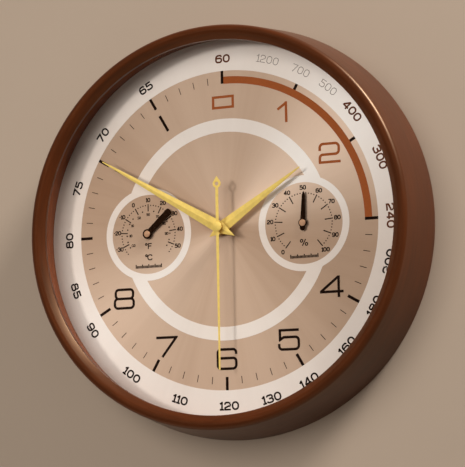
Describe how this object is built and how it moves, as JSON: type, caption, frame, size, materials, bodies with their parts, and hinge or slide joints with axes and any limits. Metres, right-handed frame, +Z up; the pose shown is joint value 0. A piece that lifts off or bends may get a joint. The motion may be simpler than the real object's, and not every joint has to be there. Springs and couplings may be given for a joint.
{
  "type": "wall clock with thermometer and hygrometer",
  "caption": "Round wall clock with a brown ring frame, champagne sunray dial, faceted gold hands and small thermometer and hygrometer gauges; hangs by a keyhole.",
  "frame": {"origin": "centre of the hanger's keyhole entry, on the plane of the wall", "axes": "+Z up, +Y into the wall, +X to the viewer's right; the dial faces -Y and the hands turn about an axis 34 mm below the origin"},
  "size_m": [0.3, 0.0459, 0.3],
  "materials": {
    "frame_lacquer": "walnut-brown satin lacquer",
    "hoop_brown": "walnut-brown gloss",
    "clear_glass": "clear polished",
    "dial_champagne": "champagne sunray brushed, printed",
    "black_plastic": "fine moulded texture",
    "movement_plastic": "fine moulded texture",
    "gold_metal": "satin gold plate",
    "brass": "turned",
    "steel": "bright zinc plate",
    "wheel_plastic": "moulded acetal",
    "soft_rubber": "matt",
    "magnet_grey": "sintered",
    "soft_iron": "stamped",
    "copper_wire": "enamelled winding",
    "bobbin_white": "moulded",
    "board_green": "solder mask",
    "chip_black": "epoxy drop",
    "battery_jacket": "printed sleeve, plain",
    "needle_black": "satin black",
    "bimetal": "rolled strip"
  },
  "bodies": {
    "case": {"frame_ring": "frame_lacquer", "front_glass": "clear_glass", "spacer_hoop": "hoop_brown", "dial_plate": "dial_champagne", "back_plate": "black_plastic", "back_plate_screws": "steel", "movement_front_case": "movement_plastic", "movement_rear_case": "movement_plastic", "centre_bush": "brass", "rubber_washer": "soft_rubber", "dial_washer": "brass", "fixing_nut": "brass", "stator": "soft_iron", "coil_core": "soft_iron", "coil_bobbin": "bobbin_white", "coil_winding": "copper_wire", "circuit_board": "board_green", "driver_chip": "chip_black", "quartz_crystal": "steel", "battery": "battery_jacket", "contact_positive": "steel", "contact_negative": "steel", "thermometer_case": "black_plastic", "thermometer_coil": "bimetal", "hygrometer_case": "black_plastic", "hygrometer_coil": "bimetal", "gauge_screws": "steel"},
    "seconds": {"seconds_wheel": "wheel_plastic", "second_hand": "gold_metal", "second_hand_cap": "gold_metal"},
    "minutes": {"centre_wheel": "wheel_plastic", "minute_hand": "gold_metal", "minute_hand_collet": "brass"},
    "hours": {"hour_wheel": "wheel_plastic", "hour_hand": "gold_metal", "hour_hand_collet": "brass"},
    "third": {"third_wheel": "wheel_plastic"},
    "motion": {"motion_wheel": "wheel_plastic"},
    "intermediate": {"intermediate_wheel": "wheel_plastic"},
    "rotor": {"rotor_pinion": "wheel_plastic", "rotor_magnet": "magnet_grey"},
    "knob": {"setting_knob": "movement_plastic"},
    "thermometer_pointer": {"thermometer_arbor": "steel", "thermometer_needle": "needle_black", "thermometer_pin": "gold_metal"},
    "hygrometer_pointer": {"hygrometer_arbor": "steel", "hygrometer_needle": "needle_black", "hygrometer_pin": "gold_metal"}
  },
  "joints": [
    {"name": "second_hand_turn", "type": "hinge", "parent": "case", "child": "seconds", "pos_m": [0, -0.0157, -0.034], "axis": [0, 1, 0], "continuous": true},
    {"name": "minute_hand_turn", "type": "hinge", "parent": "case", "child": "minutes", "pos_m": [0, -0.0157, -0.034], "axis": [0, 1, 0], "continuous": true},
    {"name": "hour_hand_turn", "type": "hinge", "parent": "case", "child": "hours", "pos_m": [0, -0.0157, -0.034], "axis": [0, 1, 0], "continuous": true},
    {"name": "third_wheel_turn", "type": "hinge", "parent": "case", "child": "third", "pos_m": [-0.00883, -0.0157, -0.0289], "axis": [0, 1, 0], "continuous": true},
    {"name": "motion_wheel_turn", "type": "hinge", "parent": "case", "child": "motion", "pos_m": [0.00902, -0.0157, -0.03072], "axis": [0, 1, 0], "continuous": true},
    {"name": "intermediate_wheel_turn", "type": "hinge", "parent": "case", "child": "intermediate", "pos_m": [-0.00737, -0.0157, -0.03668], "axis": [0, 1, 0], "continuous": true},
    {"name": "rotor_turn", "type": "hinge", "parent": "case", "child": "rotor", "pos_m": [-0.01319, -0.0157, -0.04004], "axis": [0, 1, 0], "continuous": true},
    {"name": "setting_knob_turn", "type": "hinge", "parent": "case", "child": "knob", "pos_m": [0.01382, -0.0157, -0.0224], "axis": [0, 1, 0], "continuous": true},
    {"name": "thermometer_needle_swing", "type": "hinge", "parent": "case", "child": "thermometer_pointer", "pos_m": [-0.0601, -0.0157, -0.034], "axis": [0, 1, 0], "range_deg": [-176.5, 79.5], "stiffness_Nm_per_rad": 0.001, "deforming": ["thermometer_coil"]},
    {"name": "hygrometer_needle_swing", "type": "hinge", "parent": "case", "child": "hygrometer_pointer", "pos_m": [0.0601, -0.0157, -0.034], "axis": [0, 1, 0], "range_deg": [-144, 138], "stiffness_Nm_per_rad": 0.001, "deforming": ["hygrometer_coil"]}
  ],
  "couplings": [
    {"joint": "minute_hand_turn", "follows": "second_hand_turn", "ratio": 0.016667},
    {"joint": "hour_hand_turn", "follows": "second_hand_turn", "ratio": 0.0013889},
    {"joint": "third_wheel_turn", "follows": "second_hand_turn", "ratio": -0.13333},
    {"joint": "motion_wheel_turn", "follows": "second_hand_turn", "ratio": -0.0055556},
    {"joint": "intermediate_wheel_turn", "follows": "second_hand_turn", "ratio": -6},
    {"joint": "rotor_turn", "follows": "second_hand_turn", "ratio": 30},
    {"joint": "setting_knob_turn", "follows": "second_hand_turn", "ratio": 0.016667}
  ]
}
